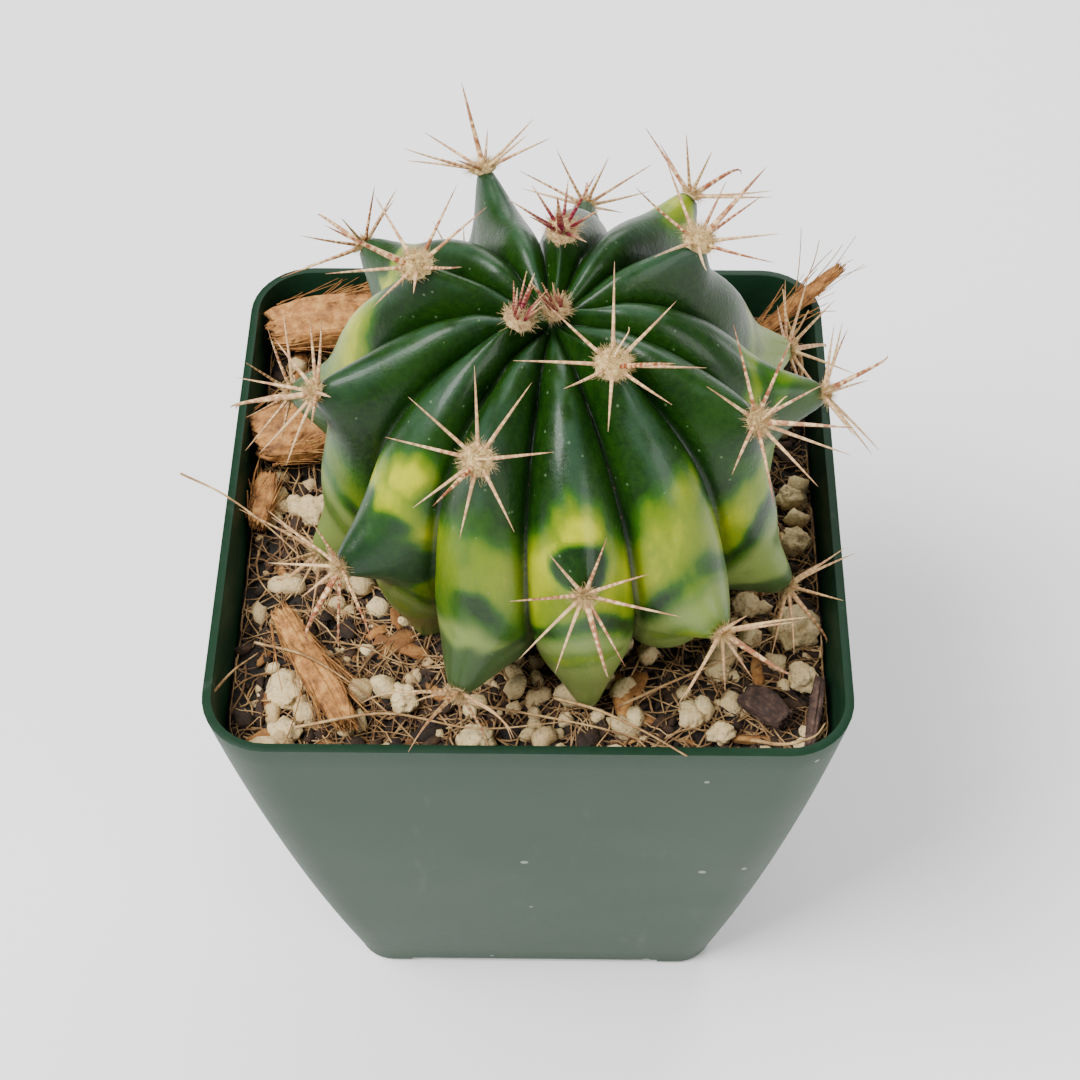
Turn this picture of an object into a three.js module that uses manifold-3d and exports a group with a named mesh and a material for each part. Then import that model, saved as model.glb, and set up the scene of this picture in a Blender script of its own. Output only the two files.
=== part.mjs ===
// Potted round cactus: a square nursery pot of potting mix, a ribbed stem, its areoles and loose grit.
// Millimetres, +Z up. Origin: centre of the pot floor's underside.
import * as THREE from "three";
import { mergeVertices } from "three/addons/utils/BufferGeometryUtils.js";
import Module from "manifold-3d";

const wasm = await Module();
wasm.setup();

// Clearances
const gap = 0.3;

// Pot
const rimWidth = 64;
const rimHeight = 66.3;
const rimCorner = 6.7;
const baseWidth = 43.8;
const baseCorner = 5;
const sideBulge = 0.29;
const wall = 0.9;
const floorThickness = 1.2;
const footHeight = 1.3;
const footLength = 7;
const baseEdge = 0.7;
const drainDiameter = 6;
const drainSpacing = 19;

// Potting mix
const soilDrop = 5.4;
const soilTop = rimHeight - soilDrop;

// Stem: where its axis stands, and how it leans
const stemX = 2.6;
const stemY = -1.2;
const stemLean = 0.105;
const stemRoll = -0.011;
const ribCount = 13;
const firstAzimuth = THREE.MathUtils.degToRad(-1.1);
const divergence = THREE.MathUtils.degToRad(138.345);
const ribTwist = Math.PI * 10 / ribCount - divergence;
const ribsPerStep = 5;

// Outline through the tubercle tips, as radius and height above the rim
const tipOutline = [
  [0, 32.8], [3, 34.1], [7, 35.8], [12.2, 35.3], [18.4, 31.9], [23.6, 25.5],
  [26.9, 15.8], [27.3, 9], [25.6, 1.6], [20.4, -4.6], [12, -9.6], [0, -12],
];
const outlineSteps = 12;
const youngRise = 1.4;
const matureRise = 5.6;
const matureStart = 9;
const matureEnd = 22;
const baseFade = 70;
const baseEnd = 82;
const grooveDepth = 3.4;
const grooveShare = 0.36;
const tubercleAbove = 9;
const tubercleBelow = 5.5;
const tubercleWaist = 0.42;

// Areoles: the first one's distance from the tip of the plant, and the spacing law
const areoleCount = 24;
const firstDistance = 0.6;
const areoleSpacing = 3.93;
const spacingPower = 0.845;
const woolWidth = 3.8;
const youngWoolWidth = 2.6;
const woolHeight = 1.1;
const radialCount = 8;
const spineLength = 8.6;
const spineWidth = 0.75;
const youngSpine = 3.6;
const spineSides = 3;
const spineFloor = soilTop + 0.9;

const group = new THREE.Group();

const materials = {
  pot: { color: 0x4f6f5f, roughness: 0.55, metalness: 0 },
  mix: { color: 0x3a2a20, roughness: 0.95, metalness: 0 },
  stem: { color: 0x2f6b3a, roughness: 0.4, metalness: 0 },
  areole: { color: 0xe6d8b8, roughness: 0.85, metalness: 0 },
  pumice: { color: 0xdccfb2, roughness: 0.95, metalness: 0 },
  husk: { color: 0x9a6438, roughness: 0.95, metalness: 0 },
  bark: { color: 0x5a4030, roughness: 0.9, metalness: 0 },
};

function addPiece(name, geometry, material, parent = group) {
  geometry.computeVertexNormals();
  const mesh = new THREE.Mesh(geometry, new THREE.MeshStandardMaterial(materials[material]));
  mesh.name = name;
  parent.add(mesh);
  return mesh;
}

// Solids for cutting and joining
function toSolid(geometry) {
  const bare = geometry.index ? geometry.toNonIndexed() : geometry.clone();
  bare.deleteAttribute("normal");
  bare.deleteAttribute("uv");
  const merged = mergeVertices(bare, 1e-5);
  return new wasm.Manifold(new wasm.Mesh({
    numProp: 3,
    vertProperties: new Float32Array(merged.attributes.position.array),
    triVerts: new Uint32Array(merged.index.array),
  }));
}

function toGeometry(solid) {
  const mesh = solid.getMesh();
  const geometry = new THREE.BufferGeometry();
  geometry.setAttribute("position", new THREE.BufferAttribute(mesh.vertProperties.slice(), 3));
  geometry.setIndex(new THREE.BufferAttribute(mesh.triVerts.slice(), 1));
  return geometry;
}

// Numbers between 0 and 1 that are the same on every run
function randomSource(seed) {
  let state = seed;
  return () => {
    state = (state * 1664525 + 1013904223) % 4294967296;
    return state / 4294967296;
  };
}

// A closed skin over rings of points, with a fan over the first and the last ring
function loft(rings) {
  const count = rings[0].length;
  const points = rings.flat();
  const centre = (ring) => ring.reduce((sum, p) => sum.add(p), new THREE.Vector3()).divideScalar(count);
  const faces = [];
  for (let i = 0; i + 1 < rings.length; i++) {
    for (let j = 0; j < count; j++) {
      const a = i * count + j;
      const b = i * count + (j + 1) % count;
      faces.push(a, b, b + count, a, b + count, a + count);
    }
  }
  const bottom = points.push(centre(rings[0])) - 1;
  const top = points.push(centre(rings[rings.length - 1])) - 1;
  const last = (rings.length - 1) * count;
  for (let j = 0; j < count; j++) {
    faces.push(bottom, (j + 1) % count, j);
    faces.push(top, last + j, last + (j + 1) % count);
  }
  const geometry = new THREE.BufferGeometry().setFromPoints(points);
  geometry.setIndex(faces);
  return geometry;
}

// The pot's section at a height: a square with round corners, set in by a wall
function potHalf(z) {
  const t = (rimHeight - z) / (rimHeight + footHeight);
  return rimWidth / 2 + (baseWidth - rimWidth) / 2 * (t + sideBulge * t * (t - 1));
}

function potSection(z, inset) {
  const t = (rimHeight - z) / (rimHeight + footHeight);
  const corner = THREE.MathUtils.lerp(rimCorner, baseCorner, t) - Math.min(inset, baseCorner / 2);
  const reach = potHalf(z) - inset - corner;
  const cornerSteps = 4;
  const ring = [];
  for (let k = 0; k < 4; k++) {
    const turn = k * Math.PI / 2;
    for (let i = 0; i <= cornerSteps; i++) {
      const angle = turn + i / cornerSteps * Math.PI / 2;
      const side = Math.SQRT2 * reach;
      const x = side * Math.cos(turn + Math.PI / 4) + corner * Math.cos(angle);
      const y = side * Math.sin(turn + Math.PI / 4) + corner * Math.sin(angle);
      ring.push(new THREE.Vector3(x, y, z));
    }
  }
  return ring;
}

function potLoft(bottom, top, inset, edge = 0) {
  const steps = 8;
  const rings = edge > 0 ? [potSection(bottom, inset + edge)] : [];
  for (let i = 0; i <= steps; i++) {
    rings.push(potSection(THREE.MathUtils.lerp(bottom + edge, top, i / steps), inset));
  }
  return loft(rings);
}

function makePot() {
  const high = 1;
  const deep = footHeight + high;
  let pot = toSolid(potLoft(-footHeight, rimHeight, 0, baseEdge));
  pot = pot.subtract(toSolid(potLoft(floorThickness, rimHeight + high, wall)));
  const arch = baseWidth - 2 * footLength;
  for (const [x, y] of [[arch, rimWidth], [rimWidth, arch]]) {
    const cut = new THREE.BoxGeometry(x, y, deep);
    cut.translate(0, 0, -deep / 2);
    pot = pot.subtract(toSolid(cut));
  }
  for (let k = 0; k < 4; k++) {
    const angle = k * Math.PI / 2;
    const hole = new THREE.CylinderGeometry(drainDiameter / 2, drainDiameter / 2, 4 * floorThickness, 16);
    hole.rotateX(Math.PI / 2);
    hole.translate(Math.cos(angle) * drainSpacing / 2, Math.sin(angle) * drainSpacing / 2, 0);
    pot = pot.subtract(toSolid(hole));
  }
  addPiece("pot", toGeometry(pot), "pot");
}

// Outline of the tips as points at equal steps of a smooth curve, with the distance run so far
function runOutline() {
  const at = (i) => {
    if (i < 0) return [-tipOutline[-i][0], tipOutline[-i][1]];
    const last = tipOutline.length - 1;
    return i > last ? [-tipOutline[2 * last - i][0], tipOutline[2 * last - i][1]] : tipOutline[i];
  };
  const track = [];
  let run = 0;
  for (let i = 0; i + 1 < tipOutline.length; i++) {
    for (let k = 0; k < outlineSteps; k++) {
      const t = k / outlineSteps;
      const blend = (axis) => {
        const [a, b, c, d] = [at(i - 1), at(i), at(i + 1), at(i + 2)].map((p) => p[axis]);
        return b + 0.5 * t * (c - a + t * (2 * a - 5 * b + 4 * c - d + t * (3 * (b - c) + d - a)));
      };
      track.push({ radius: blend(0), height: blend(1) });
    }
  }
  track.push({ radius: 0, height: tipOutline[tipOutline.length - 1][1] });
  track.forEach((point, i) => {
    if (i > 0) {
      const before = track[i - 1];
      run += Math.hypot(point.radius - before.radius, point.height - before.height);
    }
    point.run = run;
  });
  return track;
}

const outline = runOutline();
const outlineLength = outline[outline.length - 1].run;

// Point and outward normal of the tip outline at a distance from the top
function outlineAt(run) {
  const wanted = THREE.MathUtils.clamp(run, 0, outlineLength);
  let i = 1;
  while (i < outline.length - 1 && outline[i].run < wanted) i++;
  const [a, b] = [outline[i - 1], outline[i]];
  const t = (wanted - a.run) / (b.run - a.run);
  const length = b.run - a.run;
  return {
    radius: THREE.MathUtils.lerp(a.radius, b.radius, t),
    height: THREE.MathUtils.lerp(a.height, b.height, t),
    outR: (a.height - b.height) / length,
    outZ: (b.radius - a.radius) / length,
  };
}

function areoleRun(order) {
  return firstDistance + areoleSpacing * order ** spacingPower;
}

function orderAt(run) {
  return (Math.max(0, run - firstDistance) / areoleSpacing) ** (1 / spacingPower);
}

// How far a tubercle stands over the rib
function tubercleRise(run) {
  const grown = THREE.MathUtils.smoothstep(run, matureStart, matureEnd);
  const buried = THREE.MathUtils.smoothstep(run, baseFade, baseEnd);
  return THREE.MathUtils.lerp(youngRise, matureRise, grown) * (1 - buried);
}

// Areoles of the rib that lies a number of ribs on from the first
function ribAreoles(rib) {
  const found = [];
  for (let order = 0; order < areoleCount + ribCount; order++) {
    if ((order * ribsPerStep + rib) % ribCount === 0) found.push(order);
  }
  return found;
}

// Stem surface. side runs from -0.5 in one groove over 0 on the rib's crest to 0.5 in the next.
function stemSurface(rib, side, run) {
  const { radius, height, outR, outZ } = outlineAt(run);
  const flank = 1 - (2 * Math.abs(side)) ** 2;
  const rise = tubercleRise(run);
  let bump = 0;
  for (const order of ribAreoles(rib)) {
    const along = run - areoleRun(order);
    const reach = along < 0 ? tubercleAbove : tubercleBelow;
    const away = Math.hypot(along / reach, 2 * side / (2 * tubercleWaist));
    bump = Math.max(bump, 1 / (1 + away ** 2.4 * 3));
  }
  const depth = Math.min(grooveDepth, radius * grooveShare);
  const drop = rise * (1 - bump * flank ** 0.5) + depth * (1 - flank ** 0.7);
  const r = Math.max(0, radius - outR * drop);
  const azimuth = firstAzimuth + (rib + side) * 2 * Math.PI / ribCount + ribTwist * orderAt(run);
  return new THREE.Vector3(r * Math.cos(azimuth), r * Math.sin(azimuth), height - outZ * drop);
}

// Rows of the stem's mesh, moved along each rib so that one row runs through each tubercle's tip
function rowRun(row, rows, rib, side) {
  const pitch = outlineLength / rows;
  let run = row * pitch;
  for (const order of ribAreoles(rib)) {
    const nearest = Math.round(areoleRun(order) / pitch);
    const share = Math.max(0, 1 - Math.abs(row - nearest) / 2);
    run += (areoleRun(order) - nearest * pitch) * share * (1 - 2 * Math.abs(side));
  }
  return THREE.MathUtils.clamp(run, pitch / 4, outlineLength - pitch / 4);
}

function stemGeometry(clearance = 0) {
  const rows = 30;
  const perRib = 6;
  const count = ribCount * perRib;
  const rings = [];
  for (let i = rows - 1; i > 0; i--) {
    const ring = [];
    for (let j = 0; j < count; j++) {
      const rib = Math.round(j / perRib);
      const side = j / perRib - rib;
      ring.push(stemSurface(rib % ribCount, side, rowRun(i, rows, rib % ribCount, side)));
    }
    rings.push(ring);
  }
  const geometry = loft(rings);
  if (clearance > 0) {
    geometry.computeVertexNormals();
    const { position, normal } = geometry.attributes;
    for (let i = 0; i < position.count; i++) {
      const x = position.getX(i) + normal.getX(i) * clearance;
      const y = position.getY(i) + normal.getY(i) * clearance;
      position.setXYZ(i, x, y, position.getZ(i) + normal.getZ(i) * clearance);
    }
  }
  return geometry;
}

const plant = new THREE.Group();
plant.position.set(stemX, stemY, rimHeight);
plant.rotation.set(stemLean, stemRoll, 0);
plant.updateMatrix();
group.add(plant);

// A spine is shortened until its tip is clear of the mix and the rim
function spineReach(base, direction, length) {
  const tip = base.clone().addScaledVector(direction, length).applyMatrix4(plant.matrix);
  const inside = potHalf(tip.z) - wall - 1;
  const out = Math.max(Math.abs(tip.x), Math.abs(tip.y)) > inside && tip.z < rimHeight + 1;
  const low = tip.z < spineFloor;
  return (out || low) && length > 0 ? spineReach(base, direction, length - 0.5) : length;
}

function spine(base, direction, length) {
  const sunk = woolHeight / 4;
  const width = spineWidth / 2;
  const cone = new THREE.CylinderGeometry(0.04, width, length + sunk, spineSides);
  cone.translate(0, (length - sunk) / 2, 0);
  cone.applyQuaternion(new THREE.Quaternion().setFromUnitVectors(new THREE.Vector3(0, 1, 0), direction));
  cone.translate(base.x, base.y, base.z);
  return cone;
}

const stemSkin = stemGeometry().attributes.position;

// The highest point of the stem under a cushion, measured from the tubercle's tip
function seatHeight(tip, out, width) {
  const offset = new THREE.Vector3();
  let highest = 0;
  for (let i = 0; i < stemSkin.count; i++) {
    offset.fromBufferAttribute(stemSkin, i).sub(tip);
    const height = offset.dot(out);
    const away = offset.addScaledVector(out, -height).length();
    if (away < width / 2 + gap && Math.abs(height) < width) {
      highest = Math.max(highest, height);
    }
  }
  return highest;
}

function makeAreole(order) {
  const run = areoleRun(order);
  const { outR, outZ } = outlineAt(run);
  const rib = (ribCount * ribsPerStep - order * ribsPerStep % ribCount) % ribCount;
  const tip = stemSurface(rib, 0, run);
  const azimuth = Math.atan2(tip.y, tip.x);
  const out = new THREE.Vector3(outR * Math.cos(azimuth), outR * Math.sin(azimuth), outZ).normalize();
  const side = new THREE.Vector3(-Math.sin(azimuth), Math.cos(azimuth), 0);
  const up = new THREE.Vector3().crossVectors(out, side);
  const young = order < 2;
  const width = young ? youngWoolWidth : woolWidth;
  const wool = new THREE.IcosahedronGeometry(width / 2, 0);
  wool.scale(1, 1, woolHeight / width);
  wool.applyMatrix4(new THREE.Matrix4().makeBasis(side, up, out));
  const lift = seatHeight(tip, out, width) + gap + woolHeight / 2;
  const centre = tip.clone().addScaledVector(out, lift);
  wool.translate(centre.x, centre.y, centre.z);
  let solid = toSolid(wool);
  const length = young ? youngSpine : spineLength;
  const spread = young ? 0.45 : order < 4 ? 0.75 : 1.12;
  for (let k = 0; k <= radialCount; k++) {
    const turn = (k + 0.5) / radialCount * 2 * Math.PI;
    const open = k === radialCount ? 0.25 : spread;
    const direction = out.clone().multiplyScalar(Math.cos(open));
    direction.addScaledVector(side, Math.sin(open) * Math.cos(turn));
    direction.addScaledVector(up, Math.sin(open) * Math.sin(turn)).normalize();
    const foot = centre.clone().addScaledVector(direction, woolHeight / 6);
    const reach = spineReach(foot, direction, length * (k % 2 ? 0.92 : 1));
    if (reach > woolWidth / 2 + 0.4) {
      solid = solid.add(toSolid(spine(foot, direction, reach)));
    }
  }
  addPiece(`areole_${String(order).padStart(2, "0")}`, toGeometry(solid), "areole", plant);
}

// Loose grains, half sunk: x, y and width
const grains = [
  [27.2, -13.4, 4.6], [27.6, -19.6, 3], [-24.5, -21.6, 3.6], [-24.4, -26.3, 3.2],
  [-12.6, -22.6, 3], [-5.1, -27.4, 3.4], [22.4, -10.6, 2.8], [27.8, -2.6, 3.4],
  [27.8, 3.2, 3], [19.3, -26.2, 2.4], [16.4, -24.4, 2.6], [-23.6, 1.2, 3.4],
  [12.4, 27.4, 3.2], [-3.4, 28, 3],
];

function grainGeometry([x, y, width], number, clearance) {
  const random = randomSource(number + 11);
  const grain = new THREE.IcosahedronGeometry(width / 2, 1);
  grain.deleteAttribute("normal");
  grain.deleteAttribute("uv");
  const merged = mergeVertices(grain, 1e-5);
  const { position } = merged.attributes;
  const point = new THREE.Vector3();
  for (let i = 0; i < position.count; i++) {
    point.fromBufferAttribute(position, i);
    const length = point.length();
    point.multiplyScalar((length * (0.86 + 0.22 * random()) + clearance * 1.3) / length);
    position.setXYZ(i, point.x, point.y, point.z * 0.8);
  }
  merged.translate(x, y, soilTop);
  return merged;
}

// Bits of husk, bark and stick: two ends of the middle line, with heights over the mix, width, thickness
const overRim = soilDrop + 3.2;
const chips = [
  { name: "husk_chip_back_left", from: [-29, 24.4, 2.8], to: [-16, 27.4, 3.2], width: 6.6, thick: 3.6 },
  { name: "husk_chip_left", from: [-29.6, 8.6, 2.6], to: [-22.4, 11.6, 2.8], width: 7.4, thick: 3 },
  { name: "husk_chip_left_small", from: [-29.2, -1.4, 1], to: [-28.6, 4.4, 1.4], width: 2.6, thick: 2.2 },
  { name: "husk_strip_front_left", from: [-25.4, -13.6, 1.6], to: [-18.4, -25.8, 1.4], width: 3.2, thick: 1.8 },
  { name: "husk_strand_back_right", from: [22.6, 22.6, 1.4], to: [33.4, 28.6, overRim], width: 1.6, thick: 1.2 },
  { name: "bark_piece", from: [21.8, -22.2, 1], to: [25.4, -25.2, 1.2], width: 3, thick: 1.6 },
  { name: "twig", from: [29.2, -21, 1.4], to: [27.8, -28.4, 1.8], width: 1.3, thick: 1.3 },
];

function chipGeometry({ from, to, width, thick }, clearance) {
  const start = new THREE.Vector3(...from);
  const along = new THREE.Vector3(...to).sub(start);
  const length = along.length();
  const half = width / 2;
  const shape = new THREE.Shape();
  shape.moveTo(-clearance, -half * 0.6 - clearance);
  shape.lineTo(length * 0.3, -half - clearance);
  shape.lineTo(length + clearance, -half * 0.5 - clearance);
  shape.lineTo(length + clearance, half * 0.4 + clearance);
  shape.lineTo(length * 0.65, half + clearance);
  shape.lineTo(-clearance, half * 0.7 + clearance);
  const depth = thick + 2 * clearance;
  const chip = new THREE.ExtrudeGeometry(shape, { depth, bevelEnabled: false });
  chip.translate(0, 0, -depth / 2);
  const x = along.normalize();
  const y = new THREE.Vector3(0, 0, 1).cross(x).normalize();
  const z = new THREE.Vector3().crossVectors(x, y);
  chip.applyMatrix4(new THREE.Matrix4().makeBasis(x, y, z).setPosition(start.x, start.y, start.z + soilTop));
  return chip;
}

function makeMix() {
  let mix = toSolid(potLoft(floorThickness + gap, soilTop, wall + gap));
  const socket = stemGeometry(gap * 1.3);
  socket.applyMatrix4(plant.matrix);
  mix = mix.subtract(toSolid(socket));
  grains.forEach((grain, i) => {
    mix = mix.subtract(toSolid(grainGeometry(grain, i, gap)));
  });
  for (const chip of chips) {
    mix = mix.subtract(toSolid(chipGeometry(chip, gap)));
  }
  addPiece("potting_mix", toGeometry(mix), "mix");
}

makePot();
makeMix();
addPiece("cactus_stem", stemGeometry(), "stem", plant);
for (let order = 0; order < areoleCount; order++) {
  makeAreole(order);
}
grains.forEach((grain, i) => {
  addPiece(`pumice_grain_${String(i + 1).padStart(2, "0")}`, grainGeometry(grain, i, 0), "pumice");
});
for (const chip of chips) {
  addPiece(chip.name, chipGeometry(chip, 0), chip.name.includes("husk") ? "husk" : "bark");
}

export default group;
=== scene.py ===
import math
import random

import bmesh
import bpy
import numpy as np
from mathutils import Matrix, Quaternion, Vector, noise


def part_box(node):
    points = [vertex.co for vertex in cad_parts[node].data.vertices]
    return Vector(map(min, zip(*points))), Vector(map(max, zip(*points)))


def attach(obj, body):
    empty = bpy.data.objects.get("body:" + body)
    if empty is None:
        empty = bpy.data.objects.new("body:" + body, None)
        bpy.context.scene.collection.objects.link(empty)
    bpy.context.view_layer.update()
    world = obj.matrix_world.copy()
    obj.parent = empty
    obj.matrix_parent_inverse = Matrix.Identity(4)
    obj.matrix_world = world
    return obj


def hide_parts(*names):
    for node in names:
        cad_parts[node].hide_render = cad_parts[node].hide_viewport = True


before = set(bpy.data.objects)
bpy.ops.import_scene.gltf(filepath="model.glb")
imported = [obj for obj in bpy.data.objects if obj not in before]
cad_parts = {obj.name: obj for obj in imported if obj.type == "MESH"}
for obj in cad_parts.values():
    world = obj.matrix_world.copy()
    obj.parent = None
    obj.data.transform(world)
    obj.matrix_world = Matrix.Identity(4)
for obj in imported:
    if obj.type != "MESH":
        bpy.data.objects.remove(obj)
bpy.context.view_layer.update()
mm = 0.001
potLow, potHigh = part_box("pot")
rimHeight = potHigh.z
rimHalf = potHigh.x
footZ = potLow.z
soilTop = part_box("potting_mix")[1].z
tau = 2 * math.pi


def deselect():
    active = bpy.context.view_layer.objects.active
    if active and active.mode != "OBJECT":
        bpy.ops.object.mode_set(mode="OBJECT")
    bpy.ops.object.select_all(action="DESELECT")


def activate(obj):
    deselect()
    obj.select_set(True)
    bpy.context.view_layer.objects.active = obj


def newest(name):
    obj = bpy.context.object
    obj.name = name
    obj.data.name = name
    return obj


def pickFaces(obj, test):
    # selects the faces that pass the test, by their place or normal
    bpy.ops.mesh.select_mode(type="FACE")
    bpy.ops.mesh.select_all(action="DESELECT")
    shape = bmesh.from_edit_mesh(obj.data)
    for face in shape.faces:
        face.select_set(test(face))
    bmesh.update_edit_mesh(obj.data)


def pickEdges(obj, test):
    bpy.ops.mesh.select_mode(type="EDGE")
    bpy.ops.mesh.select_all(action="DESELECT")
    shape = bmesh.from_edit_mesh(obj.data)
    for edge in shape.edges:
        edge.select_set(test(edge))
    bmesh.update_edit_mesh(obj.data)


def modify(obj, kind, **values):
    # adds a modifier and applies it
    activate(obj)
    change = obj.modifiers.new(kind.title(), kind)
    for name, value in values.items():
        setattr(change, name, value)
    bpy.ops.object.modifier_apply(modifier=change.name)


def points(mesh):
    flat = np.empty(len(mesh.vertices) * 3)
    mesh.vertices.foreach_get("co", flat)
    return flat.reshape(-1, 3)


def setPoints(mesh, points):
    mesh.vertices.foreach_set("co", np.ascontiguousarray(points, dtype=float).ravel())
    mesh.update()


def addAttribute(mesh, name, values):
    layer = mesh.attributes.new(name, "FLOAT", "POINT")
    layer.data.foreach_set("value", np.ascontiguousarray(values, dtype=np.float32))


def smoothStep(value, low, high):
    t = np.clip((value - low) / (high - low), 0, 1)
    return t * t * (3 - 2 * t)


def place(obj, slot, *nodes):
    # the finished piece rides on the one body and stands for its CAD nodes
    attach(obj, "root")
    if nodes:
        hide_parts(*nodes)
    return obj


def copyJoined(name, sources, spots):
    # one mesh made of many copies; each spot is (which source, matrix, shade)
    allPoints, allFaces, allShades, start = [], [], [], 0
    parts = []
    for source in sources:
        mesh = source.data
        faces = np.empty(len(mesh.loops), int)
        mesh.loops.foreach_get("vertex_index", faces)
        sides = np.empty(len(mesh.polygons), int)
        mesh.polygons.foreach_get("loop_total", sides)
        parts.append((points(mesh), faces, sides))
    sideCounts = []
    for which, matrix, shade in spots:
        base, faces, sides = parts[which]
        turned = base @ np.array(matrix.to_3x3()).T + np.array(matrix.translation)
        allPoints.append(turned)
        allFaces.append(faces + start)
        sideCounts.append(sides)
        allShades.append(np.full(len(base), shade))
        start += len(base)
    corners = np.concatenate(allFaces)
    sides = np.concatenate(sideCounts)
    mesh = bpy.data.meshes.new(name)
    mesh.vertices.add(start)
    mesh.vertices.foreach_set("co", np.concatenate(allPoints).ravel())
    mesh.loops.add(len(corners))
    mesh.loops.foreach_set("vertex_index", corners)
    mesh.polygons.add(len(sides))
    mesh.polygons.foreach_set("loop_start", np.concatenate([[0], np.cumsum(sides)[:-1]]))
    mesh.update(calc_edges=True)
    mesh.validate()
    addAttribute(mesh, "shade", np.concatenate(allShades))
    for polygon in mesh.polygons:
        polygon.use_smooth = True
    obj = bpy.data.objects.new(name, mesh)
    bpy.context.collection.objects.link(obj)
    return obj


def removeObjects(*unwanted):
    for obj in unwanted:
        bpy.data.objects.remove(obj)


def newTree(name):
    material = bpy.data.materials.new(name)
    material.use_nodes = True
    tree = material.node_tree
    tree.nodes.clear()
    output = tree.nodes.new("ShaderNodeOutputMaterial")
    shader = tree.nodes.new("ShaderNodeBsdfPrincipled")
    tree.links.new(shader.outputs[0], output.inputs["Surface"])
    return material, tree, shader


def addNode(tree, kind, inputs=None, **values):
    made = tree.nodes.new(kind)
    for name, value in values.items():
        setattr(made, name, value)
    for name, value in (inputs or {}).items():
        socket = made.inputs[name]
        if isinstance(value, bpy.types.NodeSocket):
            tree.links.new(value, socket)
        else:
            socket.default_value = value
    return made


def objectPlace(tree, scale=(1, 1, 1)):
    coords = addNode(tree, "ShaderNodeTexCoord")
    mapping = addNode(tree, "ShaderNodeMapping", {"Vector": coords.outputs["Object"], "Scale": scale})
    return mapping.outputs[0]


def readAttribute(tree, name):
    return addNode(tree, "ShaderNodeAttribute", attribute_name=name).outputs["Fac"]


def grain(tree, vector, scale, detail=4, rough=0.6):
    made = addNode(tree, "ShaderNodeTexNoise",
                   {"Vector": vector, "Scale": scale, "Detail": detail, "Roughness": rough})
    return made.outputs[0]


def between(tree, value, low, high, toLow=0, toHigh=1):
    made = addNode(tree, "ShaderNodeMapRange",
                   {"Value": value, "From Min": low, "From Max": high, "To Min": toLow, "To Max": toHigh})
    return made.outputs[0]


def times(tree, first, second):
    made = addNode(tree, "ShaderNodeMath", {0: first, 1: second}, operation="MULTIPLY", use_clamp=True)
    return made.outputs[0]


def plus(tree, first, second):
    made = addNode(tree, "ShaderNodeMath", {0: first, 1: second}, operation="ADD")
    return made.outputs[0]


def blendColor(tree, factor, first, second):
    made = addNode(tree, "ShaderNodeMix", data_type="RGBA")
    for socket, value in ((made.inputs[0], factor), (made.inputs[6], first), (made.inputs[7], second)):
        if isinstance(value, bpy.types.NodeSocket):
            tree.links.new(value, socket)
        else:
            socket.default_value = value
    return made.outputs[2]


def bump(tree, height, strength, distance):
    made = addNode(tree, "ShaderNodeBump", {"Height": height, "Strength": strength, "Distance": distance})
    return made.outputs[0]


def rgb(red, green, blue):
    return (red, green, blue, 1)


def makeSpeckGroup():
    # small scattered spots, sharp-edged, as a mask
    group = bpy.data.node_groups.new("scatteredSpecks", "ShaderNodeTree")
    face = group.interface
    face.new_socket("Vector", in_out="INPUT", socket_type="NodeSocketVector")
    face.new_socket("Scale", in_out="INPUT", socket_type="NodeSocketFloat")
    face.new_socket("Size", in_out="INPUT", socket_type="NodeSocketFloat")
    face.new_socket("Mask", in_out="OUTPUT", socket_type="NodeSocketFloat")
    start = group.nodes.new("NodeGroupInput")
    end = group.nodes.new("NodeGroupOutput")
    cells = addNode(group, "ShaderNodeTexVoronoi",
                    {"Vector": start.outputs["Vector"], "Scale": start.outputs["Scale"]})
    few = addNode(group, "ShaderNodeSeparateColor", {"Color": cells.outputs["Color"]})
    chosen = addNode(group, "ShaderNodeMath", {0: few.outputs[0], 1: 0.72}, operation="GREATER_THAN")
    near = addNode(group, "ShaderNodeMath", {0: cells.outputs["Distance"], 1: start.outputs["Size"]},
                   operation="LESS_THAN")
    both = addNode(group, "ShaderNodeMath", {0: chosen.outputs[0], 1: near.outputs[0]}, operation="MULTIPLY")
    group.links.new(both.outputs[0], end.inputs["Mask"])
    return group


def makeMottleGroup():
    # two sizes of soft noise mixed, as a value and a height
    group = bpy.data.node_groups.new("softMottle", "ShaderNodeTree")
    face = group.interface
    face.new_socket("Vector", in_out="INPUT", socket_type="NodeSocketVector")
    face.new_socket("Large", in_out="INPUT", socket_type="NodeSocketFloat")
    face.new_socket("Fine", in_out="INPUT", socket_type="NodeSocketFloat")
    face.new_socket("Value", in_out="OUTPUT", socket_type="NodeSocketFloat")
    face.new_socket("Height", in_out="OUTPUT", socket_type="NodeSocketFloat")
    start = group.nodes.new("NodeGroupInput")
    end = group.nodes.new("NodeGroupOutput")
    large = grain(group, start.outputs["Vector"], start.outputs["Large"], 3, 0.55)
    fine = grain(group, start.outputs["Vector"], start.outputs["Fine"], 5, 0.65)
    joined = addNode(group, "ShaderNodeMath", {0: large, 1: fine}, operation="ADD")
    half = addNode(group, "ShaderNodeMath", {0: joined.outputs[0], 1: 0.5}, operation="MULTIPLY")
    group.links.new(half.outputs[0], end.inputs["Value"])
    group.links.new(fine, end.inputs["Height"])
    return group


speckGroup = makeSpeckGroup()
mottleGroup = makeMottleGroup()


def useGroup(tree, group, **inputs):
    made = addNode(tree, "ShaderNodeGroup", node_tree=group)
    for name, value in inputs.items():
        socket = made.inputs[name]
        if isinstance(value, bpy.types.NodeSocket):
            tree.links.new(value, socket)
        else:
            socket.default_value = value
    return made.outputs


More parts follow.
